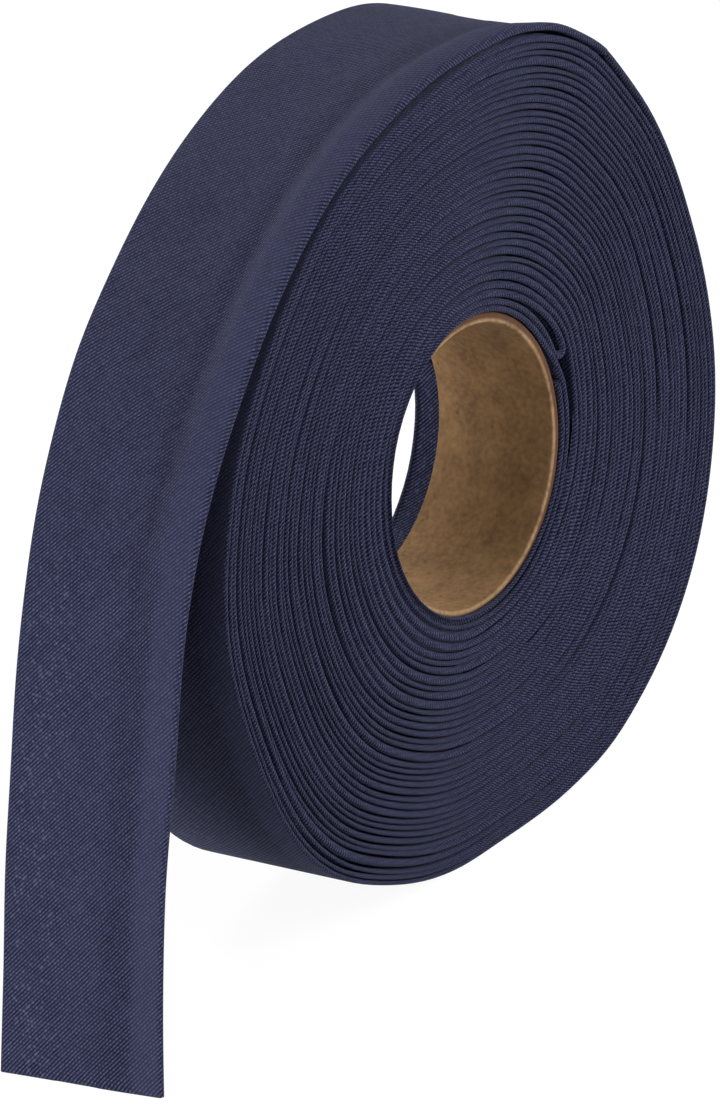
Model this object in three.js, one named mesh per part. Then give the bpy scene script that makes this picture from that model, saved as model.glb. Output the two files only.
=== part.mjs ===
// Roll of folded bias tape on a short cardboard tube. It stands on its rim, and the loose end of the tape
// comes off near the top, runs over the left shoulder and hangs down to the surface the roll stands on.
//
// Millimetres, +Z up. The tube's axis runs along Y and the front face of the roll looks along -Y.
// The origin is on the flat spot under the tube, midway across the tape.
// An angle about the tube's axis starts at +X and turns towards +Z.

import * as THREE from "three";

// Tape
const TAPE_WIDTH = 20;
const LOOSE_END_THICKNESS = 1;
const TAPE_COLOUR = 0x3a3c55;
const TAPE_ROUGHNESS = 0.9;

// Cardboard tube
const TUBE_BORE = 32.4;
const TUBE_WALL = 1.2;
const TUBE_LENGTH = 15.6;
const TUBE_FRONT_INSET = 0.7;
const TUBE_CHAMFER = 0.15;
const TUBE_COLOUR = 0x8f7450;
const TUBE_ROUGHNESS = 0.85;

// Placing
const AXIS_HEIGHT = 45.25;

// Fineness of the faceted solids
const STEPS_ROUND = 96;
const STEPS_ALONG_LOOSE_END = 72;
const STEPS_ACROSS_LOOSE_END = 8;

// The wound turns about the tube's axis: the radius of their outside and of the hole they leave, at equal
// steps of angle. The roll is a little flattened over its upper left and where it stands.
const WOUND_OUTLINE = [
  { angle: 0, outer: 48.9, hole: 18.3 },
  { angle: 20, outer: 48.4, hole: 18.4 },
  { angle: 40, outer: 49.1, hole: 18.2 },
  { angle: 60, outer: 48.3, hole: 17.9 },
  { angle: 80, outer: 46.7, hole: 17.8 },
  { angle: 100, outer: 45.3, hole: 17.8 },
  { angle: 120, outer: 44.9, hole: 17.8 },
  { angle: 140, outer: 45.0, hole: 17.8 },
  { angle: 160, outer: 46.7, hole: 17.8 },
  { angle: 180, outer: 48.2, hole: 17.8 },
  { angle: 200, outer: 47.9, hole: 17.8 },
  { angle: 220, outer: 48.8, hole: 17.8 },
  { angle: 240, outer: 47.3, hole: 17.8 },
  { angle: 260, outer: 46.1, hole: 17.8 },
  { angle: 280, outer: 45.5, hole: 17.8 },
  { angle: 300, outer: 47.9, hole: 17.8 },
  { angle: 320, outer: 49.8, hole: 17.9 },
  { angle: 340, outer: 49.9, hole: 18.1 },
];

// The two faces of the roll: how far each stands from the middle of the tape, from the hole (share 0) to
// the outside (share 1). The turns do not lie quite level.
const WOUND_FACES = [
  { share: 0, front: 9.5, back: 9.5 },
  { share: 0.04, front: 9.9, back: 9.8 },
  { share: 0.35, front: 9.8, back: 9.9 },
  { share: 0.7, front: 10, back: 9.8 },
  { share: 0.97, front: 9.9, back: 9.9 },
  { share: 1, front: 9.6, back: 9.5 },
];

// The loose end over the roll: how far the middle of its thickness is lifted off the wound turns at its
// front and back edges, and how far it bulges outwards between them.
const OVER_THE_ROLL = [
  { angle: 57, frontLift: 1.3, backLift: 0.95, crown: 0 },
  { angle: 66, frontLift: 1.3, backLift: 0.95, crown: 0 },
  { angle: 74, frontLift: 1.2, backLift: 1.3, crown: 0 },
  { angle: 82, frontLift: 0.95, backLift: 1.75, crown: 0.1 },
  { angle: 90, frontLift: 0.9, backLift: 2.05, crown: 0.3 },
  { angle: 100, frontLift: 0.9, backLift: 2.45, crown: 0.5 },
  { angle: 110, frontLift: 0.9, backLift: 2.8, crown: 0.65 },
  { angle: 120, frontLift: 1.0, backLift: 3.2, crown: 0.8 },
  { angle: 130, frontLift: 1.35, backLift: 3.7, crown: 0.9 },
  { angle: 140, frontLift: 1.9, backLift: 4.45, crown: 0.9 },
  { angle: 148, frontLift: 2.2, backLift: 5.1, crown: 0.9 },
];

// The loose end below that: where its front and back edges are at each height, how far both are moved
// along Y, and the bulge. The foot turns outwards a little where it meets the surface.
const HANGING_DOWN = [
  { height: 63, frontX: -46.6, backX: -50.1, shiftY: 0, crown: 0.9 },
  { height: 55, frontX: -51.7, backX: -54.3, shiftY: 0, crown: 0.7 },
  { height: 45, frontX: -56.0, backX: -58.2, shiftY: 0, crown: 0.5 },
  { height: 34, frontX: -59.2, backX: -61.5, shiftY: 0, crown: 0.4 },
  { height: 22, frontX: -62.9, backX: -64.6, shiftY: 0, crown: 0.3 },
  { height: 10, frontX: -66.2, backX: -67.8, shiftY: -0.5, crown: 0.1 },
  { height: 0, frontX: -69.2, backX: -71.5, shiftY: -1.6, crown: -0.3 },
];

const radians = THREE.MathUtils.degToRad;

// A point at an angle and radius about the tube's axis.
function aroundTube(angle, radius, y) {
  return new THREE.Vector3(
    radius * Math.cos(radians(angle)),
    y,
    AXIS_HEIGHT + radius * Math.sin(radians(angle)),
  );
}

// A smooth value between the rows of WOUND_OUTLINE, which close on themselves.
function outlineAt(angle, column) {
  const rows = WOUND_OUTLINE.length;
  const place = (angle * rows) / 360;
  const row = Math.floor(place);
  const share = place - row;
  const value = (offset) => WOUND_OUTLINE[(((row + offset) % rows) + rows) % rows][column];
  const [before, start, end, after] = [value(-1), value(0), value(1), value(2)];
  const linear = end - before;
  const square = 2 * before - 5 * start + 4 * end - after;
  const cube = 3 * (start - end) + after - before;
  return start + 0.5 * share * (linear + share * (square + share * cube));
}

// A closed surface through sections, each a closed loop of the same number of points. The last section
// joins the first when the row of sections is a ring. Otherwise a loop is made of an outer side and the
// same number of inner points back again, and each end is closed between the two.
function loft(sections, isRing) {
  const count = sections[0].length;
  const positions = sections.flat().flatMap((point) => point.toArray());
  const faces = [];
  const quad = (a, b, c, d) => faces.push(a, b, c, a, c, d);
  const spans = isRing ? sections.length : sections.length - 1;
  for (let i = 0; i < spans; i++) {
    const here = i * count;
    const next = ((i + 1) % sections.length) * count;
    for (let j = 0; j < count; j++) {
      const k = (j + 1) % count;
      quad(here + j, here + k, next + k, next + j);
    }
  }
  if (!isRing) {
    const last = (sections.length - 1) * count;
    for (let j = 0; j + 1 < count / 2; j++) {
      const back = count - 1 - j;
      quad(j, back, back - 1, j + 1);
      quad(last + j, last + j + 1, last + back - 1, last + back);
    }
  }
  const geometry = new THREE.BufferGeometry();
  geometry.setAttribute("position", new THREE.Float32BufferAttribute(positions, 3));
  geometry.setIndex(faces);
  geometry.computeVertexNormals();
  return geometry;
}

function named(name, geometry, color, roughness) {
  const material = new THREE.MeshStandardMaterial({ color, roughness, metalness: 0 });
  const mesh = new THREE.Mesh(geometry, material);
  mesh.name = name;
  return mesh;
}

// The tube the tape is wound on: a ring with its four edges lightly chamfered, shorter than the tape.
function tubeGeometry() {
  const inner = TUBE_BORE / 2;
  const outer = inner + TUBE_WALL;
  const front = -TAPE_WIDTH / 2 + TUBE_FRONT_INSET;
  const back = front + TUBE_LENGTH;
  const profile = [
    [inner, back - TUBE_CHAMFER],
    [inner, front + TUBE_CHAMFER],
    [inner + TUBE_CHAMFER, front],
    [outer - TUBE_CHAMFER, front],
    [outer, front + TUBE_CHAMFER],
    [outer, back - TUBE_CHAMFER],
    [outer - TUBE_CHAMFER, back],
    [inner + TUBE_CHAMFER, back],
    [inner, back - TUBE_CHAMFER],
  ];
  const points = profile.map(([radius, y]) => new THREE.Vector2(radius, y));
  return new THREE.LatheGeometry(points, STEPS_ROUND);
}

// All the wound turns as one ring. Whatever would reach below the surface is pressed flat on it.
function woundGeometry() {
  const sections = [];
  for (let i = 0; i < STEPS_ROUND; i++) {
    const angle = (360 * i) / STEPS_ROUND;
    const hole = outlineAt(angle, "hole");
    const outer = outlineAt(angle, "outer");
    const radiusAt = (row) => THREE.MathUtils.lerp(hole, outer, row.share);
    const front = WOUND_FACES.map((row) => aroundTube(angle, radiusAt(row), -row.front));
    const back = WOUND_FACES.map((row) => aroundTube(angle, radiusAt(row), row.back));
    const section = [...front, ...back.reverse()];
    section.forEach((point) => (point.z = Math.max(point.z, 0)));
    sections.push(section);
  }
  return loft(sections, true);
}

// The rows of both tables as points on the two edges of the loose end, with the bulge at each row.
function looseEndRows() {
  const half = TAPE_WIDTH / 2;
  const over = OVER_THE_ROLL.map((row) => {
    const surface = outlineAt(row.angle, "outer");
    return {
      front: aroundTube(row.angle, surface + row.frontLift, -half),
      back: aroundTube(row.angle, surface + row.backLift, half),
      crown: row.crown,
    };
  });
  const hanging = HANGING_DOWN.map((row) => ({
    front: new THREE.Vector3(row.frontX, row.shiftY - half, row.height),
    back: new THREE.Vector3(row.backX, row.shiftY + half, row.height),
    crown: row.crown,
  }));
  return [...over, ...hanging];
}

// A sheet that follows both edge curves, bulged near its front edge, and cut level where it stands.
function looseEndGeometry() {
  const rows = looseEndRows();
  const smooth = (points) => new THREE.CatmullRomCurve3(points, false, "centripetal");
  const frontEdge = smooth(rows.map((row) => row.front));
  const backEdge = smooth(rows.map((row) => row.back));
  const crowns = smooth(rows.map((row) => new THREE.Vector3(row.crown, 0, 0)));
  const sections = [];
  for (let i = 0; i <= STEPS_ALONG_LOOSE_END; i++) {
    const along = i / STEPS_ALONG_LOOSE_END;
    const front = frontEdge.getPoint(along);
    const back = backEdge.getPoint(along);
    const tangent = frontEdge.getTangent(along).add(backEdge.getTangent(along)).normalize();
    const across = back.clone().sub(front).normalize();
    const outward = new THREE.Vector3().crossVectors(across, tangent).normalize();
    const outside = [];
    const inside = [];
    for (let j = 0; j <= STEPS_ACROSS_LOOSE_END; j++) {
      const share = j / STEPS_ACROSS_LOOSE_END;
      const bulge = crowns.getPoint(along).x * Math.sin(Math.PI * Math.sqrt(share));
      const middle = front.clone().lerp(back, share).addScaledVector(outward, bulge);
      for (const [side, list] of [[0.5, outside], [-0.5, inside]]) {
        const point = middle.clone().addScaledVector(outward, side * LOOSE_END_THICKNESS);
        if (i === STEPS_ALONG_LOOSE_END) point.addScaledVector(tangent, -point.z / tangent.z);
        list.push(point);
      }
    }
    sections.push([...outside, ...inside.reverse()]);
  }
  return loft(sections, false);
}

const core = named("core", tubeGeometry(), TUBE_COLOUR, TUBE_ROUGHNESS);
core.position.z = AXIS_HEIGHT;

const part = new THREE.Group();
part.add(core);
part.add(named("roll", woundGeometry(), TAPE_COLOUR, TAPE_ROUGHNESS));
part.add(named("tail", looseEndGeometry(), TAPE_COLOUR, TAPE_ROUGHNESS));

export default part;
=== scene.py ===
"""The looks of a roll of folded bias tape: the wound tape, its loose end and the cardboard tube in it.

Named sizes and the tables are in millimetres, and are multiplied by MM on their way into a mesh or a node.
The tube's axis runs along Y and the front of the roll looks along -Y. An angle about the axis starts at +X
and turns towards +Z.
"""

import math

import bpy
import numpy as np
from mathutils import Matrix, Vector


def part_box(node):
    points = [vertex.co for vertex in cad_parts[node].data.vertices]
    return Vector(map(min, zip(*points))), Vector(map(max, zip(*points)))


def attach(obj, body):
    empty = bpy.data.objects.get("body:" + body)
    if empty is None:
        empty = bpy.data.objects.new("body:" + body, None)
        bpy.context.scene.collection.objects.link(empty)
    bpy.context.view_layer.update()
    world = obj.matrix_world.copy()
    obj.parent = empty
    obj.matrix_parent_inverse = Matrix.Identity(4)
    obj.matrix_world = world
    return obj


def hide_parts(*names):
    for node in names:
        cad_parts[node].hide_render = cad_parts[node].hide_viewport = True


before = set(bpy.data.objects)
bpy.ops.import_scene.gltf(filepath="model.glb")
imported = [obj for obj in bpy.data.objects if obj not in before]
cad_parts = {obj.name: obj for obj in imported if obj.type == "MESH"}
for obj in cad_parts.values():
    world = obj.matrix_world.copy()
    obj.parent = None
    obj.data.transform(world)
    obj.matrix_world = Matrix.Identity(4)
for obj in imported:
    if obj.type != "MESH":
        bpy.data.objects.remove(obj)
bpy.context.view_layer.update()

MM = 0.001

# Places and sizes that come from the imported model. TUBE_OUTSIDE is a radius.
tube_low, tube_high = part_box("core")
roll_low, roll_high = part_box("roll")
tail_low, tail_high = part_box("tail")
AXIS_HEIGHT = (tube_low.z + tube_high.z) / 2 / MM
TUBE_OUTSIDE = (tube_high.x - tube_low.x) / 2 / MM
TAPE_WIDTH = -2 * roll_low.y / MM

# Tape: how deep the round of a fold is, in thicknesses, and how much cloth a quarter turn of it takes
TAPE_THICKNESS = 0.74
CLOTH_THICKNESS = 0.32
FOLD_DEPTH = 0.7
FOLD_GIRTH = math.pi * TAPE_THICKNESS / 4
WARP_PITCH = 0.35
WEFT_PITCH = 0.26
FRONT_FLAP = 8.0
BACK_FLAP = 7.0

# Winding: the inner turns run to the hook, and the others run back from it to where the tape leaves
HOOK_ANGLE = 22.0
LEAVING_ANGLE = 50.0
TURNS = 34 + (LEAVING_ANGLE - HOOK_ANGLE) / 360
INNER_TURNS = 1.97
FIRST_RADIUS = 17.82
LAYER_STEP = 0.72

# Cardboard tube: its wall, and the radius of its bore
TUBE_WALL = 1.2
TUBE_INSIDE = TUBE_OUTSIDE - TUBE_WALL

# Colours
# The tape's navy in two copies: near black in the gaps between threads as painted shade, and lighter on the
# thread tops as painted light
TAPE_SHADED_BETWEEN_THREADS = (0.001, 0.0015, 0.013, 1)
TAPE_LIT_ON_THREADS = (0.094, 0.100, 0.196, 1)
TAPE_SHEEN = (0.70, 0.74, 1.0, 1)
CARDBOARD_COLOUR = (0.295, 0.171, 0.077, 1)
CUT_RIM_COLOUR = (0.46, 0.34, 0.21, 1)
OUTER_PLY_AND_SHADE_COLOUR = (0.085, 0.036, 0.018, 1)
FLOOR_COLOUR = (0.85, 0.85, 0.85, 1)
WHITE = (1, 1, 1, 1)

# Bands along the tape, by how far from the front fold each starts, is full, fades and ends: pressed flat and
# painted lighter as the ridge's highlight, the hollow behind that painted darker as shade, and where a few
# crossings get painted glints, which is low down only
PRESSED_HIGHLIGHT_BAND = (0.3, 0.9, 2.8, 4.6)
HOLLOW_BAND = (3.4, 5.0, 6.0, 9.0)
GLINT_BAND = (12.5, 15.0, 18.6, 19.4)
GLINTS_BELOW = (45, 60)

# How much lighter or darker the bands are, as painted highlight, painted shade and painted glints, and the
# share of crossings that get no glint
RIDGE_PAINTED_HIGHLIGHT = 0.22
HOLLOW_SHADE = 0.08
PAINTED_GLINT_LIGHT = 0.35
SHARE_WITHOUT_GLINT = 0.93

# How fast the thick and thin places of the threads change across a thread and along it
WARP_SLUBS = (1400.0, 160.0)
WEFT_SLUBS = (1900.0, 160.0)


# Expressions on nodes

class Socket:
    """A node's output. Arithmetic on it adds Math nodes to the same tree."""

    def __init__(self, output):
        self.output = output

    def math(self, operation, *others):
        nodes = Nodes(self.output.id_data)
        return nodes.add("ShaderNodeMath", {"operation": operation}, dict(enumerate((self, *others))))

    def __add__(self, other):
        return self.math("ADD", other)

    def __radd__(self, other):
        return self.math("ADD", other)

    def __sub__(self, other):
        return self.math("SUBTRACT", other)

    def __rsub__(self, other):
        return (self * -1).math("ADD", other)

    def __mul__(self, other):
        return self.math("MULTIPLY", other)

    def __rmul__(self, other):
        return self.math("MULTIPLY", other)

    def __truediv__(self, other):
        return self.math("DIVIDE", other)

    def __pow__(self, other):
        return self.math("POWER", other)

    def __abs__(self):
        return self.math("ABSOLUTE")

    def __lt__(self, other):
        return self.math("LESS_THAN", other)

    def __gt__(self, other):
        return self.math("GREATER_THAN", other)

    def sin(self):
        return self.math("SINE")

    def clamp(self):
        return self.math("MAXIMUM", 0.0).math("MINIMUM", 1.0)

    def ramp(self, start, end):
        """0 before start, 1 after end, and smooth between them. Start may be the larger."""
        share = ((self - start) / (end - start)).clamp()
        return share * share * (3 - 2 * share)

    def band(self, start, full, fading, end):
        return self.ramp(start, full) * (1 - self.ramp(fading, end))


class Nodes:
    """A node tree that is written as expressions."""

    def __init__(self, tree):
        self.tree = tree

    def add(self, kind, settings=None, inputs=None, output=0):
        """A new node: its settings are made first, then the values or links of its sockets."""
        node = self.tree.nodes.new(kind)
        for name, value in (settings or {}).items():
            setattr(node, name, value)
        for key, value in (inputs or {}).items():
            if isinstance(value, Socket):
                self.tree.links.new(value.output, node.inputs[key])
            else:
                node.inputs[key].default_value = value
        return Socket(node.outputs[output]) if len(node.outputs) else node


def mix_colour(nodes, factor, first, second, blend="MIX"):
    settings = {"data_type": "RGBA", "blend_type": blend, "clamp_factor": True}
    return nodes.add("ShaderNodeMix", settings, {0: factor, 6: first, 7: second}, 2)


def noise(nodes, vector, scale, detail):
    return nodes.add("ShaderNodeTexNoise", None, {"Vector": vector, "Scale": scale, "Detail": detail})


def vector_of(nodes, x, y, z=0.0):
    return nodes.add("ShaderNodeCombineXYZ", None, {0: x, 1: y, 2: z})


def part_of(nodes, vector, axis):
    """One part of a vector: 0 is X, 1 is Y and 2 is Z."""
    return nodes.add("ShaderNodeSeparateXYZ", None, {0: vector}, axis)


def vector_math(nodes, operation, first, second):
    return nodes.add("ShaderNodeVectorMath", {"operation": operation}, {0: first, 1: second})


def object_place(nodes):
    return nodes.add("ShaderNodeTexCoord", None, None, 3)


def seen_by_camera(nodes):
    """1 for what the camera sees, straight or in a shine or through something clear, and 0 for light."""
    path = nodes.tree.nodes.new("ShaderNodeLightPath")
    seen = Socket(path.outputs["Is Camera Ray"]) + Socket(path.outputs["Is Glossy Ray"])
    return (seen + Socket(path.outputs["Is Transmission Ray"])).clamp()


def add_object(name, data):
    made = bpy.data.objects.new(name, data)
    bpy.context.scene.collection.objects.link(made)
    return made


# Materials

def new_material(name):
    material = bpy.data.materials.new(name)
    material.use_nodes = True
    material.node_tree.nodes.clear()
    return material, Nodes(material.node_tree)


def finish_material(nodes, surface):
    nodes.add("ShaderNodeOutputMaterial", None, {"Surface": surface})


def tape_material():
    """Plain weave cut on the bias: the threads cross the tape at 45 degrees and follow it round its folds."""
    material, nodes = new_material("tape_cloth")
    place = nodes.add("ShaderNodeUVMap", {"uv_map": "Tape"})
    along, around = part_of(nodes, place, 0), part_of(nodes, place, 1)

    # The slubs are long along a thread and short across it. Drift bends the threads a little.
    warp_place = vector_of(nodes, (along - around) * WARP_SLUBS[0], (along + around) * WARP_SLUBS[1])
    weft_place = vector_of(nodes, (along + around) * WEFT_SLUBS[0], (along - around) * WEFT_SLUBS[1])
    warp_slub = noise(nodes, warp_place, 1.0, 2.0) - 0.5
    weft_slub = noise(nodes, weft_place, 1.0, 2.0) - 0.5
    drift = noise(nodes, place, 400.0, 1.0) - 0.5
    diagonal = math.pi / (MM * math.sqrt(2))
    warp_turn = (along - around) * (diagonal / WARP_PITCH) + drift + warp_slub
    weft_turn = (along + around) * (diagonal / WEFT_PITCH) - drift + weft_slub
    warp_wave, weft_wave = warp_turn.sin(), weft_turn.sin()
    warp, weft = abs(warp_wave), abs(weft_wave)

    # Where two threads cross, either may be on top, and each crossing has a lightness of its own
    thread = vector_of(nodes, (warp_turn / math.pi).math("FLOOR"), (weft_turn / math.pi).math("FLOOR"))
    crossing = nodes.add("ShaderNodeTexWhiteNoise", {"noise_dimensions": "2D"}, {"Vector": thread})
    warp_on_top = (warp_wave * weft_wave).ramp(-0.25, 0.25)
    height = warp ** 0.8 * (0.62 + 0.38 * warp_on_top * weft ** 0.5) + 0.2 * weft * (1 - warp_on_top)
    mottle = noise(nodes, place, 150.0, 3.0) - 0.5
    light = height ** 2.3 * (0.8 + crossing * 0.4) + warp_slub * 0.2 + weft_slub * 0.25 + mottle * 0.1

    # The weave shows less on the pressed band, which is painted lighter as the ridge's highlight; the hollow
    # behind it is painted darker as shade
    from_fold = around / MM
    pressed_highlight, hollow = from_fold.band(*PRESSED_HIGHLIGHT_BAND), from_fold.band(*HOLLOW_BAND)
    light = light * (1 - pressed_highlight * 0.4) + pressed_highlight * RIDGE_PAINTED_HIGHLIGHT - hollow * HOLLOW_SHADE
    # Painted glints: a few thread crossings toward the back fold, low down, are painted lighter
    low_down = 1 - (part_of(nodes, object_place(nodes), 2) / MM).ramp(*GLINTS_BELOW)
    glints = from_fold.band(*GLINT_BAND) * low_down
    light = light + (crossing > SHARE_WITHOUT_GLINT) * glints * PAINTED_GLINT_LIGHT
    # Painted light and shade of the weave: the lit colour on the thread tops and the shaded one in the gaps,
    # by thread height; slubs, mottle and crossings add the cloth's own uneven tone
    colour = mix_colour(nodes, light.clamp(), TAPE_SHADED_BETWEEN_THREADS, TAPE_LIT_ON_THREADS)
    bump = nodes.add("ShaderNodeBump", None, {"Strength": 1.0, "Distance": 0.12 * MM, "Height": height})
    surface = nodes.add("ShaderNodeBsdfPrincipled", None, {
        "Base Color": colour,
        "Roughness": 0.9,
        "Specular IOR Level": 0.12,
        "Sheen Weight": 0.10,
        "Sheen Roughness": 0.4,
        "Sheen Tint": TAPE_SHEEN,
        "Normal": bump,
    })
    finish_material(nodes, surface)
    return material


def cardboard_material():
    """Kraft board: mottled brown with dark flecks. The front rim is paler inside, and darker outside, with
    the outer ply's reddish brown and painted shade beside the tape.
    """
    material, nodes = new_material("kraft_cardboard")
    place = object_place(nodes)
    depth = part_of(nodes, place, 1)
    cloud = noise(nodes, place, 300.0, 3.0)
    fibre = noise(nodes, place, 1500.0, 3.0)
    fleck = noise(nodes, place, 700.0, 1.0).ramp(0.70, 0.78)
    light = -0.05 + cloud + fibre * 1.1 - fleck * 0.35
    board = mix_colour(nodes, 1.0, CARDBOARD_COLOUR, vector_of(nodes, light, light, light), "MULTIPLY")
    across = vector_math(nodes, "MULTIPLY", place, (1, 0, 1))
    across = vector_math(nodes, "SUBTRACT", across, (0, 0, AXIS_HEIGHT * MM))
    radius = nodes.add("ShaderNodeVectorMath", {"operation": "LENGTH"}, {0: across}, 1) / MM
    rim = (depth * -1).ramp(-tube_low.y - 0.5 * MM, -tube_low.y - 0.1 * MM)
    inner_ply = rim * (1 - abs(radius - TUBE_INSIDE - 0.16).ramp(0.06, 0.26))
    pale = inner_ply * (cloud * 0.6 + fibre * 0.6).ramp(0.42, 0.75)
    # Painted shade on the outer part of the front rim, beside the tape, together with the outer ply's own
    # reddish brown
    outer_ply_and_shade = rim * radius.ramp(TUBE_INSIDE + 0.28, TUBE_INSIDE + 0.6)
    colour = mix_colour(nodes, pale * 0.45, board, CUT_RIM_COLOUR)
    colour = mix_colour(nodes, outer_ply_and_shade * 0.9, colour, OUTER_PLY_AND_SHADE_COLOUR)
    unevenness = {"Strength": 0.35, "Distance": 0.06 * MM, "Height": fibre + cloud}
    bump = nodes.add("ShaderNodeBump", None, unevenness)
    surface = nodes.add("ShaderNodeBsdfPrincipled", None, {
        "Base Color": colour,
        "Roughness": 0.8,
        "Specular IOR Level": 0.3,
        "Normal": bump,
    })
    finish_material(nodes, surface)
    return material


def backdrop_material():
    """A pale floor that the camera sees as white, but for the shadow on it."""
    material, nodes = new_material("pale_floor")
    paint = nodes.add("ShaderNodeBsdfDiffuse", None, {"Color": FLOOR_COLOUR})
    glow = nodes.add("ShaderNodeEmission", None, {"Color": WHITE, "Strength": FLOOR_GLOW})
    share = seen_by_camera(nodes) * FLOOR_GLOW_SHARE
    finish_material(nodes, nodes.add("ShaderNodeMixShader", None, {0: share, 1: paint, 2: glow}))
    return material


# Stage

# The camera stands at a distance and two angles from VIEW_CENTRE, looks at CAMERA_AIM and is rolled a little
CAMERA_DISTANCE = 948
CAMERA_AZIMUTH = math.radians(-53.66)
CAMERA_ELEVATION = math.radians(22.5)
CAMERA_ROLL = math.radians(-5.44)
VIEW_CENTRE = Vector((0.3, 0, 45.75))
CAMERA_AIM = Vector((-6.61, 2.28, 35.56))
CAMERA_LENS = 277.67
CAMERA_SENSOR = 36

# Light on the object from all round, and how the floor glows for the camera alone
WORLD_LIGHT = 0.02
FLOOR_GLOW = 1.16
FLOOR_GLOW_SHARE = 0.8
FLOOR_HALF = 3.0

# Lights in metres and watts: name, place, what it is turned to, size and power
TUBE_MIDDLE = (0, 0, AXIS_HEIGHT * MM)
LIGHTS = [
    ("top", (0.6, 0.75, 1.1), TUBE_MIDDLE, 0.8, 6.0),
    ("high_front", (0.1, -0.9, 1.1), TUBE_MIDDLE, 0.8, 4.0),
    ("right_front", (0.45, -1.3, 0.6), TUBE_MIDDLE, 1.0, 14.5),
    ("left", (-1.3, 0.3, 0.15), TUBE_MIDDLE, 0.8, 16.5),
    ("low", (-0.35, 0, 0.03), (-0.06, 0, 0.02), 0.2, 0.35),
]


def make_camera():
    data = bpy.data.cameras.new("camera")
    camera = add_object("camera", data)
    data.lens = CAMERA_LENS
    data.sensor_width = CAMERA_SENSOR
    direction = Vector((
        math.sin(CAMERA_AZIMUTH) * math.cos(CAMERA_ELEVATION),
        -math.cos(CAMERA_AZIMUTH) * math.cos(CAMERA_ELEVATION),
        math.sin(CAMERA_ELEVATION),
    ))
    place = VIEW_CENTRE + direction * CAMERA_DISTANCE
    facing = (CAMERA_AIM - place).to_track_quat("-Z", "Y").to_matrix()
    roll = Matrix.Rotation(CAMERA_ROLL, 3, (0, 0, 1))
    camera.rotation_euler = (facing @ roll).to_euler()
    camera.location = place * MM
    bpy.context.scene.camera = camera


def make_light(name, place, target, size, power):
    data = bpy.data.lights.new(name, "AREA")
    data.shape = "DISK"
    data.size = size
    data.energy = power
    light = add_object(name, data)
    light.location = place
    light.rotation_euler = (Vector(target) - light.location).to_track_quat("-Z", "Y").to_euler()


def make_world():
    world = bpy.data.worlds.new("studio")
    bpy.context.scene.world = world
    world.use_nodes = True
    world.node_tree.nodes.clear()
    nodes = Nodes(world.node_tree)
    lit = nodes.add("ShaderNodeBackground", None, {"Color": WHITE, "Strength": WORLD_LIGHT})
    white = nodes.add("ShaderNodeBackground", None, {"Color": WHITE, "Strength": 1.0})
    both = nodes.add("ShaderNodeMixShader", None, {0: seen_by_camera(nodes), 1: lit, 2: white})
    nodes.add("ShaderNodeOutputWorld", None, {"Surface": both})


def make_floor():
    mesh = bpy.data.meshes.new("floor")
    half = FLOOR_HALF
    corners = [(-half, -half, 0), (half, -half, 0), (half, half, 0), (-half, half, 0)]
    mesh.from_pydata(corners, [], [(0, 1, 2, 3)])
    floor = add_object("floor", mesh)
    mesh.materials.append(backdrop_material())


# The winding

def smooth(value, start, end):
    """0 before start, 1 after end, and smooth between them."""
    share = np.clip((value - start) / (end - start), 0, 1)
    return share * share * (3 - 2 * share)


def near(angle, centre, spread):
    """1 where an angle is at the centre, falling to 0 over the spread on both sides."""
    apart = (np.asarray(angle) - centre + 180) % 360 - 180
    return np.exp(-((apart / spread) ** 2))


# The inside of the outward turns by angle: lifted off the tube on the right, where the hook keeps them away
INSIDE = [
    (0, 18.75), (6, 18.9), (13, 19.2), (19, 19.65), (24, 20.05), (32, 19.95), (39, 19.62), (49, 19.25),
    (61, 18.98), (75, 18.78), (90, 18.72), (120, 18.6), (180, 18.43), (230, 18.27), (272, 18.15),
    (300, 18.05), (323, 18.1), (353, 18.6),
]

# Where single turns lie deeper than their neighbours: turn, angle, spread of angle and depth. Each fades over
# SUNKEN_OVER of a turn. The turns beside the tube lie deeper by angle, spread and depth alone.
SUNKEN = [
    (11.2, 195, 50, 0.35),
    (12.6, 205, 40, 0.25),
    (15.5, 320, 45, 0.3),
    (19.0, 0, 50, 0.2),
    (24.5, 300, 45, 0.25),
    (27.0, 10, 50, 0.25),
    (31.0, 150, 40, 0.2),
]
SUNKEN_OVER = 0.55
INNER_TURNS_SUNK = (345, 60, 0.25)

# How finely a table round the roll is followed
WAVES_KEPT = 35
WAVES_FADE_OVER = 20


def around(angles, rows):
    """A smooth value for any angle from rows of angle and value that close on themselves."""
    places = np.array([row[0] for row in rows], float)
    values = np.array([row[1] for row in rows], float)
    fine = np.arange(0, 360, 2.0)
    closed = np.interp(fine, np.append(places, 360), np.append(values, values[0]))
    terms = np.fft.rfft(closed) / len(fine)
    result = np.full(np.shape(angles), terms[0].real)
    for k in range(1, WAVES_KEPT + 1):
        fade = math.exp(-((k / WAVES_FADE_OVER) ** 2))
        wave = np.radians(np.asarray(angles) * k)
        result += 2 * fade * (terms[k].real * np.cos(wave) - terms[k].imag * np.sin(wave))
    return result


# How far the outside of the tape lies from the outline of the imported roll, by angle
OUTSIDE_CHANGE = [
    (0, -0.2), (20, -0.4), (40, -0.3), (50, -0.2), (60, 0), (90, -0.5), (120, -0.2), (160, 0), (200, 0),
    (240, 0), (280, 0), (320, -0.1), (340, -0.3),
]

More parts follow.
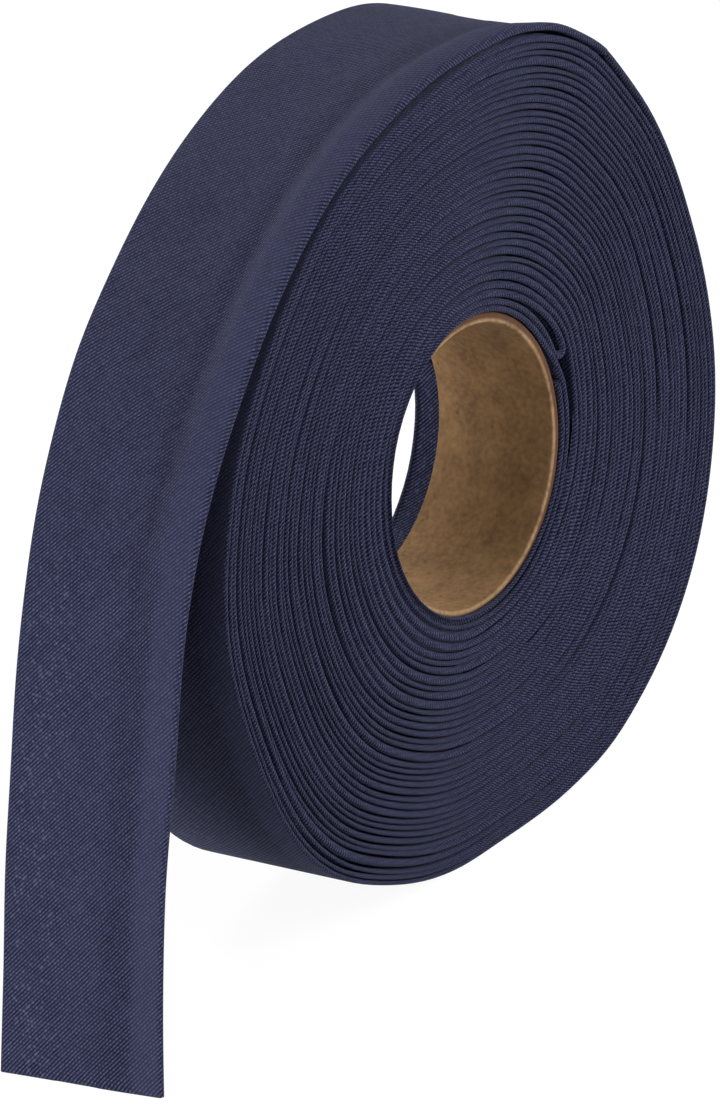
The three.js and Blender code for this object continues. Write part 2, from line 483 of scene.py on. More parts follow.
# The same for the outermost turns alone
OUTER_TURNS_CHANGE = [
    (0, 0), (10, -0.1), (20, -0.22), (30, -0.25), (38, -0.25), (44, -0.2), (48, -0.05), (52, 0.35), (57, 0.6),
    (61, 0.6), (65, 0.72), (69, 0.68), (73, 0.6), (78, 0.4), (83, 0.2), (90, -0.1), (100, -0.2), (112, 0),
    (180, 0), (205, 0), (220, 0.4), (232, 0.4), (245, 0), (265, -0.1), (275, 0.2), (285, 0.8), (297, 0.85),
    (310, 0.25),
]

# How unevenly the turns lie, in turns: pushed outwards in the middle of the roll, with random ripples
PUSHED_OUT = 1.1
RIPPLES = 7
RIPPLE_HEIGHT = 0.075
RIPPLE_SEED = 11
RIPPLE_TIMES_ROUND = (1, 5)
RIPPLE_DRIFT = (0.12, 0.42)

# The gap left between two turns at their folds, the most it swings by, and how thick a turn may be
LEAST_SLACK = 0.09
SLACK_SWING = 0.14
THINNEST_TURN, THICKEST_TURN = 0.5, 1.3


def packed_outline(angles):
    """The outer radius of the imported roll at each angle."""
    points = np.array([vertex.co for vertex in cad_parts["roll"].data.vertices]) / MM
    x, z = points[:, 0], points[:, 2] - AXIS_HEIGHT
    places, radii = np.degrees(np.arctan2(z, x)), np.hypot(x, z)
    apart = np.abs((places[None, :] - angles[:, None] + 180) % 360 - 180)
    return np.where(apart < 2.5, radii[None, :], 0).max(axis=1)


class Winding:
    """The outward turns as a rule: the radius of the middle of the tape at each turn."""

    def __init__(self):
        angles = np.arange(0, 360, 5.0)
        outside = packed_outline(angles) + around(angles, OUTSIDE_CHANGE)
        turns_here = TURNS - 1 + ((angles - LEAVING_ANGLE) % 360) / 360
        inside = around(angles, INSIDE)
        spacing = (outside - inside) / (turns_here + 1)
        self.spacing_rows = list(zip(angles, spacing))
        random = np.random.default_rng(RIPPLE_SEED)
        self.ripples = []
        for _ in range(RIPPLES):
            times = random.integers(*RIPPLE_TIMES_ROUND)
            drift = random.uniform(*RIPPLE_DRIFT)
            self.ripples.append((times, drift, random.uniform(0, 2 * math.pi)))

    def unevenness(self, turn, angle):
        """How far, in turns, the tape lies off an even spiral."""
        share = np.clip(turn / TURNS, 0, 1)
        loose = PUSHED_OUT * np.sin(math.pi * share ** 0.75)
        ripple = 0
        for times, drift, start in self.ripples:
            wave = np.radians(times * angle) + 2 * math.pi * drift * turn + start
            ripple = ripple + RIPPLE_HEIGHT * np.cos(wave)
        calm = smooth(turn, 0, 1.5) * (1 - smooth(turn, TURNS - 2, TURNS - 0.2))
        return loose + ripple * calm

    def inner_side(self, turn):
        """The radius of a turn's inner side."""
        angle = HOOK_ANGLE + 360 * turn
        spacing = around(angle, self.spacing_rows)
        even = around(angle, INSIDE) + spacing * (turn + self.unevenness(turn, angle))
        return even + around(angle, OUTER_TURNS_CHANGE) * np.clip(turn / TURNS, 0, 1) ** 4

    def slack(self, turn):
        """The gap left outside a turn at its folds. There is more on the left, and at the lower left of the
        last turns."""
        angle = HOOK_ANGLE + 360 * turn
        wave = 0.5 + 0.5 * np.cos(np.radians(2 * angle) + 2.3 * turn + 1)
        left = 0.08 * near(angle, 180, 60)
        low_left = 0.16 * smooth(turn, 24, 29) * near(angle, 240, 45)
        return LEAST_SLACK + left + SLACK_SWING * wave ** 3 + low_left

    def thickness(self, turn):
        """The thickness of a turn at its folds, which is nearly the loose end's where the tape leaves the
        roll."""
        room = self.inner_side(turn + 1) - self.inner_side(turn) - self.slack(turn)
        thick = np.clip(room, THINNEST_TURN, THICKEST_TURN)
        leaving = smooth(turn, TURNS - 0.1, TURNS)
        return thick + (TAPE_THICKNESS + 0.1 - thick) * leaving

    def puff(self, turn):
        """How far the middle of a turn swells to rest against the next one. The last turn has none."""
        gap = self.inner_side(turn + 1) - self.inner_side(turn) - self.thickness(turn)
        return (np.clip(gap, 0, 2) + 0.03) * (1 - smooth(turn, TURNS - 1.02, TURNS - 1))

    def radius(self, turn):
        return self.inner_side(turn) + self.thickness(turn) / 2


# How finely the path is worked out, in turns; then the bend in radians that one row of the laid tape may
# take, and how short and long a row may be
PATH_STEP = 0.001
BEND_OF_A_ROW = 0.12
SHORTEST_ROW, LONGEST_ROW = 0.2, 1.95


def wound_path():
    """The middle of the tape from its first end, beside the tube, to where it leaves the roll. Each point
    has a place in the plane of the roll, an angle, a turn, a thickness and a puff."""
    winding = Winding()
    wound = np.arange(0, INNER_TURNS, PATH_STEP)
    ring_angle = HOOK_ANGLE + 360 * INNER_TURNS - 360 * wound
    over_first_end = 0.12 * np.exp(-(((wound - 1.01) / 0.03) ** 2))
    under_hook = 0.15 * near(ring_angle, 38, 22) * (wound > 1)
    ring_radius = FIRST_RADIUS + LAYER_STEP * smooth(wound, 0.94, 1.0) + over_first_end + under_hook

    hook = np.radians(np.arange(2, 180, 2.0))
    hook_inner = ring_radius[-1]
    hook_size = (winding.radius(np.array([0.0]))[0] - hook_inner) / 2
    hook_radius = hook_inner + hook_size * (1 - np.cos(hook))
    hook_angle = HOOK_ANGLE - np.degrees(hook_size * np.sin(hook) / hook_radius)

    turn = np.arange(0, TURNS + PATH_STEP / 2, PATH_STEP)
    radius = np.concatenate([ring_radius, hook_radius, winding.radius(turn)])
    angle = np.concatenate([ring_angle, hook_angle, HOOK_ANGLE + 360 * turn])
    turns = np.concatenate([wound - INNER_TURNS, np.zeros(len(hook)), turn])
    to_hook = len(wound) + len(hook)
    thick = np.concatenate([np.full(to_hook, LAYER_STEP), winding.thickness(turn)])
    puff = np.concatenate([np.zeros(to_hook), winding.puff(turn)])
    x = radius * np.cos(np.radians(angle))
    z = radius * np.sin(np.radians(angle))
    run = np.concatenate([[0], np.cumsum(np.hypot(np.diff(x), np.diff(z)))])

    heading = np.unwrap(np.arctan2(np.gradient(z, run), np.gradient(x, run)))
    bend = np.abs(np.gradient(heading, run))
    step = np.clip(BEND_OF_A_ROW / np.maximum(bend, 1e-3), SHORTEST_ROW, LONGEST_ROW)
    effort = np.concatenate([[0], np.cumsum(np.diff(run) / step[1:])])
    count = int(effort[-1]) + 1
    at = np.interp(np.linspace(0, effort[-1], count), effort, run)
    return [at, *(np.interp(at, run, values) for values in (x, z, heading, angle, turns, thick, puff))]


# Where the columns of the laid tape are on its inner and outer sides, from -1 at the front to 1 at the back
INNER_PLACES = (-0.95, -0.91)
OUTER_PLACES = (-0.95, -0.91, -0.76, -0.5, 0.2, 0.9, 0.95)
FOLD_COLUMNS = 5


def wound_section():
    """The folded tape cut across, from the middle of its inner side round the front fold, the outer side and
    the back fold. Each column has: across (-1 front to 1 back), rise (share of the thickness from the
    middle), fold (how far in from the edge, in thicknesses) and girth (the cloth's place from the front
    fold)."""
    columns = []
    flat = TAPE_WIDTH - TAPE_THICKNESS

    def add_side(places, rise, direction, start):
        for across in places:
            columns.append((across, rise, 0, start + direction * flat * (across + 1) / 2))

    def add_fold(side, first_rise, start):
        for i in range(FOLD_COLUMNS + 1):
            turn = math.pi * i / FOLD_COLUMNS
            rise = first_rise * math.cos(turn)
            fold = FOLD_DEPTH * (1 - math.sin(turn))
            columns.append((side, rise, fold, start + 2 * FOLD_GIRTH * i / FOLD_COLUMNS))

    add_side([0, *reversed(INNER_PLACES)], -0.5, -1, -FOLD_GIRTH)
    add_fold(-1, -0.5, -FOLD_GIRTH)
    add_side(OUTER_PLACES, 0.5, 1, FOLD_GIRTH)
    add_fold(1, 0.5, FOLD_GIRTH + flat)
    add_side([-place for place in INNER_PLACES] + [0], -0.5, -1, 3 * FOLD_GIRTH + 2 * flat)
    return np.array(columns)


def mesh_of_points(name, points):
    mesh = bpy.data.meshes.new(name)
    mesh.from_pydata([tuple(point) for point in points], [], [])
    return mesh


def add_attribute(mesh, name, values):
    values = np.asarray(values, np.float32)
    kind, field = ("FLOAT_VECTOR", "vector") if values.ndim == 2 else ("FLOAT", "value")
    mesh.attributes.new(name, kind, "POINT").data.foreach_set(field, values.ravel())


# Across the tape, from 0 in the middle to 1 at an edge: where the leaning starts and is full, where the lift
# of the end of the last turn starts and is full, and how far out the puffed middle reaches
LEANS = (0.915, 0.985)
LIFTS = (0.49, 0.78)
PUFFED_TO = 0.6
OUTER_LIP_LEANS_LESS = 0.33


def laying_tree():
    """Lays the folded tape along a path: one row of the section at each point of it, and a row more at each
    end that closes it."""
    tree = bpy.data.node_groups.new("lay_folded_tape", "GeometryNodeTree")
    for name, kind in (
        ("Geometry", "NodeSocketGeometry"), ("Section", "NodeSocketObject"), ("Rows", "NodeSocketInt"),
        ("Columns", "NodeSocketInt"), ("Half width", "NodeSocketFloat"), ("Wander", "NodeSocketFloat"),
        ("Seed", "NodeSocketFloat"), ("Material", "NodeSocketMaterial"),
    ):
        tree.interface.new_socket(name, in_out="INPUT", socket_type=kind)
    tree.interface.new_socket("Geometry", in_out="OUTPUT", socket_type="NodeSocketGeometry")
    nodes = Nodes(tree)
    group = tree.nodes.new("NodeGroupInput")
    given = {output.name: Socket(output) for output in group.outputs if output.name}
    rows, columns = given["Rows"], given["Columns"]

    grid = nodes.add("GeometryNodeMeshGrid", None, {
        "Size X": 1.0, "Size Y": 1.0, "Vertices X": rows + 2, "Vertices Y": columns,
    })
    index = nodes.add("GeometryNodeInputIndex")
    row = (index / columns + 0.0001).math("FLOOR")
    column = index - row * columns
    row_on_path = (row - 1).math("MAXIMUM", 0.0).math("MINIMUM", rows - 1)
    is_cap = (row < 0.5) + (row > rows + 0.5)
    open_part = 1 - is_cap

    def sample(geometry, value, at, kind):
        settings = {"data_type": kind, "domain": "POINT"}
        inputs = {"Geometry": geometry, "Value": value, "Index": at}
        return nodes.add("GeometryNodeSampleIndex", settings, inputs)

    def named(name, kind):
        return nodes.add("GeometryNodeInputNamedAttribute", {"data_type": kind}, {"Name": name})

    def along(*names, kind):
        return [sample(path, named(name, kind), row_on_path, kind) for name in names]

    path = given["Geometry"]
    position = nodes.add("GeometryNodeInputPosition")
    centre = sample(path, position, row_on_path, "FLOAT_VECTOR")
    thick, puff, sink, run = along("thick", "puff", "sink", "run", kind="FLOAT")
    outward, front_lean, back_lean, end_lift, wander_place = along(
        "outward", "front_lean", "back_lean", "end_lift", "wander_place", kind="FLOAT_VECTOR",
    )
    cut = nodes.add("GeometryNodeObjectInfo", None, {"Object": given["Section"]}, "Geometry")
    girth = sample(cut, named("girth", "FLOAT"), column, "FLOAT")
    shape = sample(cut, position, column, "FLOAT_VECTOR")
    across, rise, fold = (part_of(nodes, shape, axis) for axis in range(3))

    shifted = vector_math(nodes, "ADD", wander_place, vector_of(nodes, 0.0, given["Seed"]))
    wander = (noise(nodes, shifted, 1.0, 1.0) - 0.5) * given["Wander"]
    axial = across * given["Half width"] - across.math("SIGN") * fold * thick
    y = (axial + wander + sink) * open_part + (wander + sink) * is_cap

    def scaled(vector, factor):
        return nodes.add("ShaderNodeVectorMath", {"operation": "SCALE"}, {0: vector, "Scale": factor})

    def summed(first, second):
        return vector_math(nodes, "ADD", first, second)

    on_outside = rise > 0.49
    swells = on_outside * (abs(across) < PUFFED_TO)
    raised = scaled(outward, (rise * thick + swells * puff) * open_part)
    lip = 1 - (rise + 0.5) * OUTER_LIP_LEANS_LESS
    to_front = across * -1
    leaning_in_front = scaled(front_lean, to_front.ramp(*LEANS) * lip * open_part)
    leaning_behind = scaled(back_lean, across.ramp(*LEANS) * open_part)
    leaning = summed(leaning_in_front, leaning_behind)
    lifted = scaled(end_lift, to_front.ramp(*LIFTS) * open_part)
    moved = summed(summed(centre, raised), summed(leaning, lifted))
    above_floor = part_of(nodes, moved, 2).math("MAXIMUM", 0.0)
    place = vector_of(nodes, part_of(nodes, moved, 0), y, above_floor)

    def on_points(value, kind):
        return nodes.add("GeometryNodeFieldOnDomain", {"data_type": kind, "domain": "POINT"}, {0: value})

    laid = nodes.add("GeometryNodeSetPosition", None, {"Geometry": grid, "Position": place})
    cloth_place = on_points(vector_of(nodes, run, girth), "FLOAT_VECTOR")
    on_cap = on_points(is_cap, "FLOAT")
    mapped = nodes.add(
        "GeometryNodeStoreNamedAttribute", {"data_type": "FLOAT2", "domain": "CORNER"},
        {"Geometry": laid, "Name": "Tape", "Value": cloth_place},
    )
    capped = nodes.add(
        "GeometryNodeStoreNamedAttribute", {"data_type": "FLOAT", "domain": "FACE"},
        {"Geometry": mapped, "Name": "cap", "Value": on_cap},
    )
    same_place = {"Geometry": capped, "Distance": 0.001 * MM}
    closed = nodes.add("GeometryNodeMergeByDistance", None, same_place)
    flat = named("cap", "FLOAT") > 0.1
    shaded = nodes.add("GeometryNodeSetShadeSmooth", {"domain": "FACE"}, {
        "Geometry": closed, "Shade Smooth": 1 - flat,
    })
    real = nodes.add("GeometryNodeRealizeInstances", None, {"Geometry": shaded})
    turned = nodes.add("GeometryNodeFlipFaces", None, {"Mesh": real})
    dress = {"Geometry": turned, "Material": given["Material"]}
    dressed = nodes.add("GeometryNodeSetMaterial", None, dress)
    result = tree.nodes.new("NodeGroupOutput")
    tree.links.new(dressed.output, result.inputs[0])
    return tree


def from_nodes(name, mesh, tree, values):
    """The mesh that a geometry tree makes of another mesh, as a plain object."""
    host = add_object(name, mesh)
    modifier = host.modifiers.new("laying", "NODES")
    modifier.node_group = tree
    for item in tree.interface.items_tree:
        if item.in_out == "INPUT" and item.name in values:
            modifier[item.identifier] = values[item.name]
    graph = bpy.context.evaluated_depsgraph_get()
    laid = host.evaluated_get(graph)
    made = bpy.data.meshes.new_from_object(laid, preserve_all_data_layers=True, depsgraph=graph)
    host.modifiers.clear()
    host.data = made
    made.name = name
    return host


# How far a turn wanders to the front or back, how fast this changes round the roll and from turn to turn,
# and how far the front of the last turn is lifted where it becomes the loose end
WANDER = 0.45
WANDER_ROUND = 1.1
WANDER_TURN_TO_TURN = 1.7
WANDER_SEED = 3.0
END_LIFT = 0.42

# How far the front and back edges of the first turns lean in over the tube, by angle, and how many turns
# this fades over
FRONT_OVERHANG = [
    (0, 0), (60, 0), (95, 0.2), (112, 0.7), (130, 1.1), (150, 1.35), (174, 2.0), (195, 1.8), (230, 1.45),
    (250, 1.15), (272, 1.35), (296, 1.0), (323, 0.55), (345, 0.1),
]
BACK_OVERHANG = [(0, 0.45), (40, 0.45), (70, 0.2), (100, 0), (180, 0), (250, 0), (290, 0.2), (320, 0.45)]
OVERHANG_FADES_OVER = 2.5


def make_wound_tape(material):
    """The wound tape, and where and which way it leaves the roll."""
    run, x, z, heading, angle, turns, thick, puff = wound_path()
    count = len(run)
    mesh = mesh_of_points("path", np.stack([x, np.zeros(count), z + AXIS_HEIGHT], 1) * MM)
    radians = np.radians(angle)
    outward = np.stack([np.sin(heading), np.zeros(count), -np.cos(heading)], 1)
    radial = np.stack([np.cos(radians), np.zeros(count), np.sin(radians)], 1)
    fade = np.exp(-(turns + INNER_TURNS) / OVERHANG_FADES_OVER)
    front_lean = -around(angle, FRONT_OVERHANG) * fade
    back_lean = -around(angle, BACK_OVERHANG) * fade
    end_lift = END_LIFT * smooth(turns, TURNS - 0.1, TURNS - 0.005)
    centre, spread, depth = INNER_TURNS_SUNK
    sink = depth * near(angle, centre, spread) * (turns < 0)
    for turn, centre, spread, depth in SUNKEN:
        sink += depth * np.exp(-((turns - turn) / SUNKEN_OVER) ** 4) * near(angle, centre, spread)
    round_roll = WANDER_ROUND * radial
    wander_place = np.stack([round_roll[:, 0], WANDER_TURN_TO_TURN * turns, round_roll[:, 2]], 1)
    add_attribute(mesh, "outward", outward)
    add_attribute(mesh, "front_lean", radial * front_lean[:, None] * MM)
    add_attribute(mesh, "back_lean", radial * back_lean[:, None] * MM)
    add_attribute(mesh, "end_lift", radial * end_lift[:, None] * MM)
    add_attribute(mesh, "wander_place", wander_place)
    add_attribute(mesh, "thick", thick * MM)
    add_attribute(mesh, "puff", puff * MM)
    add_attribute(mesh, "sink", sink * MM)
    add_attribute(mesh, "run", run * MM)

    columns = wound_section()
    cut_mesh = mesh_of_points("cut", columns[:, :3])
    add_attribute(cut_mesh, "girth", columns[:, 3] * MM)
    cut = add_object("cut", cut_mesh)
    tape = from_nodes("wound_tape", mesh, laying_tree(), {
        "Section": cut, "Rows": count, "Columns": len(columns), "Half width": TAPE_WIDTH / 2 * MM,
        "Wander": WANDER * MM, "Seed": WANDER_SEED, "Material": material,
    })
    bpy.data.objects.remove(cut)
    end = {"x": x[-1], "z": z[-1], "run": run[-1], "heading": heading[-1]}
    return tape, end


# The loose end

# Over the roll, by angle: the radius of the middle of the tape at its front and back folds; the height of
# the ridge, the depth of the hollow behind it, how far the ridge is from the front, and the puff of the fold
OVER_THE_ROLL = [
    (57, 49.50, 48.62, 0.07, 0.42, 2.3, 0.3),
    (62, 49.52, 48.66, 0.07, 0.42, 2.2, 0.3),
    (67, 49.12, 48.80, 0, 0.38, 1.1, 0.35),
    (73, 48.38, 48.82, 0.40, 0.34, 1.5, 0.4),
    (80, 47.42, 48.58, 0.64, 0.30, 1.8, 0.4),
    (90, 46.52, 48.25, 0.80, 0.30, 2.2, 0.4),
    (100, 45.93, 48.10, 0.90, 0.32, 2.5, 0.35),
    (110, 45.80, 48.08, 0.95, 0.34, 2.6, 0.35),
    (120, 45.80, 48.25, 0.97, 0.36, 2.7, 0.35),
    (130, 46.00, 48.75, 0.97, 0.36, 2.7, 0.35),
    (140, 46.60, 49.70, 0.95, 0.34, 2.8, 0.35),
    (148, 47.65, 51.00, 0.90, 0.32, 2.9, 0.3),
]

# Hanging: height, x at the front and back folds, how far both are moved along Y; then as above
HANGING_DOWN = [
    (63, -46.7, -50.1, 0, 0.82, 0.28, 3.1, 0.3),
    (55, -51.8, -54.3, 0, 0.65, 0.22, 3.4, 0.3),
    (45, -56.05, -58.2, 0, 0.42, 0.15, 3.8, 0.25),
    (34, -59.3, -61.5, 0, 0.3, 0.05, 4.0, 0.15),
    (22, -62.9, -64.6, 0, 0.1, 0, 4.0, 0.15),
    (10, -66.2, -67.8, -0.5, 0, 0, 4.0, 0.1),
    (0, -69.2, -71.5, -1.6, 0, 0, 4.0, 0.1),
]
RIDGE_FALLS_OVER = 2.9
HOLLOW_ENDS = 8.0
LOOSE_STEP = 0.6

# The two rows before those: how far back along the wound tape each is, and its ridge, hollow, ridge's place
# and puff
ROWS_ON_THE_ROLL = (4.0, 0.0)
SHAPE_ON_THE_ROLL = (0, 0.7 * END_LIFT, 2.2, 0.13)


def spline(knots, values, at):
    """A natural cubic through rows of values, so that the loose end bends evenly."""
    knots, values = np.asarray(knots, float), np.asarray(values, float)
    gaps = np.diff(knots)
    size = len(knots)
    system = np.zeros((size, size))
    wanted = np.zeros_like(values)
    system[0, 0] = system[-1, -1] = 1
    for i in range(1, size - 1):
        system[i, i - 1:i + 2] = gaps[i - 1], 2 * (gaps[i - 1] + gaps[i]), gaps[i]
        slope_before = (values[i] - values[i - 1]) / gaps[i - 1]
        slope_after = (values[i + 1] - values[i]) / gaps[i]
        wanted[i] = 6 * (slope_after - slope_before)
    curve = np.linalg.solve(system, wanted)
    i = np.clip(np.searchsorted(knots, at, "right") - 1, 0, size - 2)
    left, right, gap = (knots[i + 1] - at)[:, None], (at - knots[i])[:, None], gaps[i][:, None]
    return (
        (curve[i] * left ** 3 + curve[i + 1] * right ** 3) / (6 * gap)
        + (values[i] / gap - curve[i] * gap / 6) * left
        + (values[i + 1] / gap - curve[i + 1] * gap / 6) * right
    )


def edge_rows(end):
    """Rows along the loose end: the front and back points of the middle of its thickness, the ridge, the
    hollow, the ridge's place, and the puff of the front fold. The first row lies back on the wound tape,
    which hands over at the second."""
    half = TAPE_WIDTH / 2
    rows = []
    start = np.array([end["x"], end["z"]])
    away = start / np.linalg.norm(start)
    forward = np.array([math.cos(end["heading"]), math.sin(end["heading"])])
    for behind in ROWS_ON_THE_ROLL:
        point = start - forward * behind - away * behind ** 2 / (2 * np.linalg.norm(start))
        edge = point + END_LIFT * away
        rows.append((edge[0], -half, edge[1], point[0], half, point[1], *SHAPE_ON_THE_ROLL))
    for angle, front, back, *shape in OVER_THE_ROLL:
        x, z = math.cos(math.radians(angle)), math.sin(math.radians(angle))
        rows.append((front * x, -half, front * z, back * x, half, back * z, *shape))
    for height, front, back, shift, *shape in HANGING_DOWN:
        z = height - AXIS_HEIGHT
        rows.append((front, shift - half, z, back, shift + half, z, *shape))
    rows = np.array(rows)
    rows[:, [2, 5]] += AXIS_HEIGHT
    return rows


# Columns of the loose end: round a fold, on each flap and across the face, which has more near the front
FOLD_STEPS = 10
FRONT_FLAP_COLUMNS = 14
BACK_FLAP_COLUMNS = 10
FACE_COLUMNS = 46
FACE_EVENNESS = 0.55
FLAP_STARTS = 0.3
PUFF_FADES_OVER = 1.1


def folded_cloth(puff):
    """The folded tape cut across as the single cloth it is: from one raw edge round the front fold, the outer
    side and the back fold to the other raw edge, and back again through the cloth's other side. Returns the
    place across, the rise and the girth of each point, in a closed loop. Puff opens the front fold."""
    half = TAPE_WIDTH / 2
    layer = (TAPE_THICKNESS - CLOTH_THICKNESS) / 2
    front_layer = layer * (1 + puff)
    front = -half + CLOTH_THICKNESS / 2 + front_layer
    back = half - CLOTH_THICKNESS / 2 - layer
    turn = np.radians(np.linspace(-90, 90, FOLD_STEPS + 1))

    def side(places):
        return layer * (1 + puff * np.exp(-(((places - front) / PUFF_FADES_OVER) ** 2)))

    front_flap = np.linspace(FRONT_FLAP - half, front + FLAP_STARTS, FRONT_FLAP_COLUMNS)
    back_flap = np.linspace(back - FLAP_STARTS, half - BACK_FLAP, BACK_FLAP_COLUMNS)
    share = np.linspace(0, 1, FACE_COLUMNS)[1:-1]
    face = front + (back - front) * (FACE_EVENNESS * share + (1 - FACE_EVENNESS) * share ** 2)
    across = np.concatenate([
        front_flap, front - front_layer * np.cos(turn), face, back + layer * np.cos(turn), back_flap,
    ])
    rise = np.concatenate([
        -side(front_flap), front_layer * np.sin(turn), side(face), -layer * np.sin(turn),
        np.full(len(back_flap), -layer),
    ])
    flat = TAPE_WIDTH - TAPE_THICKNESS
    girth = np.concatenate([
        -FOLD_GIRTH - (front_flap - front), FOLD_GIRTH * turn / turn[-1], FOLD_GIRTH + (face - front),
        FOLD_GIRTH + flat + FOLD_GIRTH * (1 + turn / turn[-1]), 3 * FOLD_GIRTH + flat + (back - back_flap),
    ])
    step_across, step_rise = np.gradient(across), np.gradient(rise)
    length = np.hypot(step_across, step_rise)
    shift_across = -step_rise / length * CLOTH_THICKNESS / 2
    shift_rise = step_across / length * CLOTH_THICKNESS / 2
    loop = [
        np.concatenate([across + shift_across, (across - shift_across)[::-1]]),
        np.concatenate([rise + shift_rise, (rise - shift_rise)[::-1]]),
        np.concatenate([girth, girth[::-1]]),
    ]
    return np.array([np.append(values, values[0]) for values in loop])


def make_loose_end(material, end):
    """The loose end, and its length in metres along the middle from where it leaves the wound tape."""
    rows = edge_rows(end)
    middle = (rows[:, :3] + rows[:, 3:6]) / 2
    knots = np.concatenate([[0], np.cumsum(np.linalg.norm(np.diff(middle, axis=0), axis=1))])
    at = np.linspace(knots[1], knots[-1], int((knots[-1] - knots[1]) / LOOSE_STEP))
    table = spline(knots, rows, at)
    step = spline(knots, rows, at + 0.01) - spline(knots, rows, at - 0.01)
    front, back = table[:, :3], table[:, 3:6]
    ridge, hollow, ridge_place, puff = (table[:, i, None] for i in (6, 7, 8, 9))
    tangent = step[:, :3] + step[:, 3:6]
    tangent /= np.linalg.norm(tangent, axis=1)[:, None]
    across = (back - front) / np.linalg.norm(back - front, axis=1)[:, None]
    outward = np.cross(across, tangent)
    outward /= np.linalg.norm(outward, axis=1)[:, None]

    # The folded cloth at each row, with the soft ridge behind its front fold and the hollow behind the ridge
    sections = np.array([folded_cloth(value) for value in puff[:, 0]])
    place, rise, girth = sections[:, 0], sections[:, 1], sections[0, 2]
    from_front = np.clip(place + TAPE_WIDTH / 2, 0, None)
    fall = smooth(from_front, ridge_place, ridge_place + RIDGE_FALLS_OVER)
    rise_share = np.clip(1 - from_front / ridge_place, 0, 1)
    bulge = ridge * (1 - rise_share ** 1.6) * (1 - fall)
    bulge -= hollow * fall * (1 - smooth(from_front, HOLLOW_ENDS, TAPE_WIDTH))

    # The face dips a little between the flaps, and is not quite even along its length
    back_flap = TAPE_WIDTH - BACK_FLAP
    between_flaps = smooth(from_front, FRONT_FLAP - 0.3, FRONT_FLAP + 0.3)
    between_flaps *= 1 - smooth(from_front, back_flap - 0.25, back_flap + 0.25)
    along = at[:, None]
    waves = 0.05 * np.sin(along / 5.3 + from_front / 4.1)
    waves += 0.04 * np.sin(along / 3.1 - from_front / 2.7 + 1.0)
    waves *= smooth(at - at[0], 2, 14)[:, None]
    lift = rise + bulge + waves - 0.06 * between_flaps

    # The last row is cut level where it stands
    share = (place / TAPE_WIDTH + 0.5)[..., None]
    points = front[:, None] + (back - front)[:, None] * share + outward[:, None] * lift[..., None]
    slide = points[-1, :, 2] / tangent[-1, 2]
    points[-1] -= tangent[-1] * slide[:, None]
    points[..., 2] = np.maximum(points[..., 2], 0)

    length = at - at[0]
    mesh = strip_mesh("loose_end", points * MM, (end["run"] + length) * MM, girth * MM)
    mesh.materials.append(material)
    return add_object("loose_end", mesh), length[-1] * MM


def strip_mesh(name, points, along, around_it):
    """A closed strip of rows and columns, the last column being the first again, with both ends closed."""
    rows, columns = points.shape[:2]
    loop = columns - 1
    vertices = points[:, :loop].reshape(-1, 3)
    faces, places = [], []
    for i in range(rows - 1):
        for j in range(loop):
            k = (j + 1) % loop
            faces.append((i * loop + j, i * loop + k, (i + 1) * loop + k, (i + 1) * loop + j))
            places += [
                (along[i], around_it[j]), (along[i], around_it[j + 1]),
                (along[i + 1], around_it[j + 1]), (along[i + 1], around_it[j]),
            ]
    ends = []
    for row in (0, rows - 1):
        ends.append(len(vertices) + len(ends))
        for j in range(loop):
            k = (j + 1) % loop
            corners = (row * loop + j, row * loop + k, ends[-1])
            faces.append(corners if row else corners[::-1])
            places += [(along[row], around_it[j])] * 3
    caps = [points[0, :loop].mean(0), points[-1, :loop].mean(0)]
    mesh = bpy.data.meshes.new(name)
    mesh.from_pydata([tuple(v) for v in vertices] + [tuple(c) for c in caps], [], faces)
    layer = mesh.uv_layers.new(name="Tape")
    layer.data.foreach_set("uv", np.array(places, np.float32).ravel())
    smooth_faces = np.ones(len(faces), bool)
    smooth_faces[(rows - 1) * loop:] = False
    mesh.polygons.foreach_set("use_smooth", smooth_faces)
    return mesh


# The tube

TUBE_STEPS = 160
RIM_STEPS = 5
RIM_ROUNDING = TUBE_WALL * 0.2
RIM_UNEVEN_OVER = 2
TUBE_CLEARANCE = 0.03


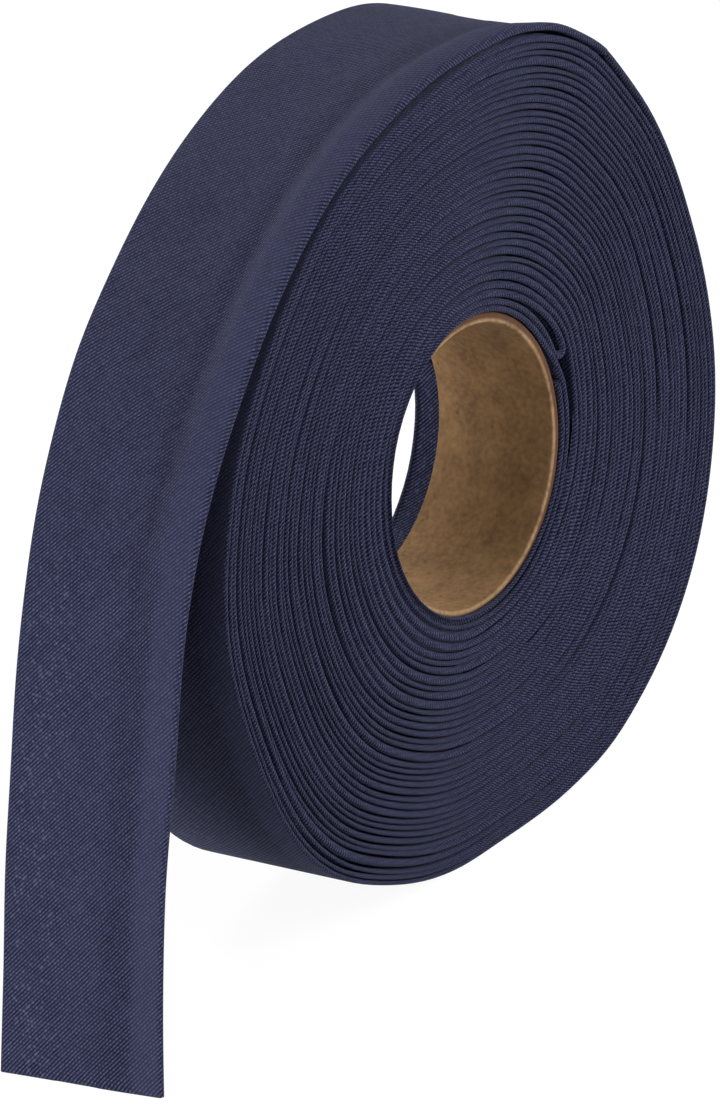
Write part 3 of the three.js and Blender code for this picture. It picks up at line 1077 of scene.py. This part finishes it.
def make_tube(material):
    """A ring with rounded rims, the front one a little uneven."""
    outer, inner = TUBE_OUTSIDE, TUBE_INSIDE
    front, back = tube_low.y / MM, tube_high.y / MM
    between = (0.25, 0.5, 0.75)
    outside = [(outer, front + (back - front) * share) for share in between]
    inside = [(inner, back + (front - back) * share) for share in between]
    profile = []
    for radius, y, start, side in (
        (inner + RIM_ROUNDING, front + RIM_ROUNDING, 180, []),
        (outer - RIM_ROUNDING, front + RIM_ROUNDING, 270, outside),
        (outer - RIM_ROUNDING, back - RIM_ROUNDING, 0, []),
        (inner + RIM_ROUNDING, back - RIM_ROUNDING, 90, inside),
    ):
        for i in range(RIM_STEPS + 1):
            turn = math.radians(start + 90 * i / RIM_STEPS)
            profile.append((radius + RIM_ROUNDING * math.cos(turn), y + RIM_ROUNDING * math.sin(turn)))
        profile += side
    count = len(profile)
    vertices, faces = [], []
    for i in range(TUBE_STEPS):
        turn = 2 * math.pi * i / TUBE_STEPS
        wave = 0.04 * math.sin(3 * turn + 1) + 0.03 * math.sin(7 * turn)
        for radius, y in profile:
            at_front = max(0.0, 1 - (y - front) / RIM_UNEVEN_OVER)
            radius += wave * 0.5 * at_front - TUBE_CLEARANCE
            x, z = radius * math.cos(turn), AXIS_HEIGHT + radius * math.sin(turn)
            vertices.append((x * MM, (y + max(0, wave) * at_front) * MM, z * MM))
        for j in range(count):
            k = (j + 1) % count
            n = (i + 1) % TUBE_STEPS
            faces.append((i * count + j, i * count + k, n * count + k, n * count + j))
    mesh = bpy.data.meshes.new("cardboard_tube")
    mesh.from_pydata(vertices, [], faces)
    mesh.polygons.foreach_set("use_smooth", np.ones(len(faces), bool))
    mesh.materials.append(material)
    return add_object("cardboard_tube", mesh)


# Building

bpy.context.scene.view_settings.view_transform = "Standard"
make_camera()
make_world()
for light in LIGHTS:
    make_light(*light)
make_floor()

cloth = tape_material()
wound_tape, tape_end = make_wound_tape(cloth)
loose_end, loose_length = make_loose_end(cloth, tape_end)
tube = make_tube(cardboard_material())

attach(wound_tape, "root")
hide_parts("roll")
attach(loose_end, "root")
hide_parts("tail")
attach(tube, "root")
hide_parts("core")
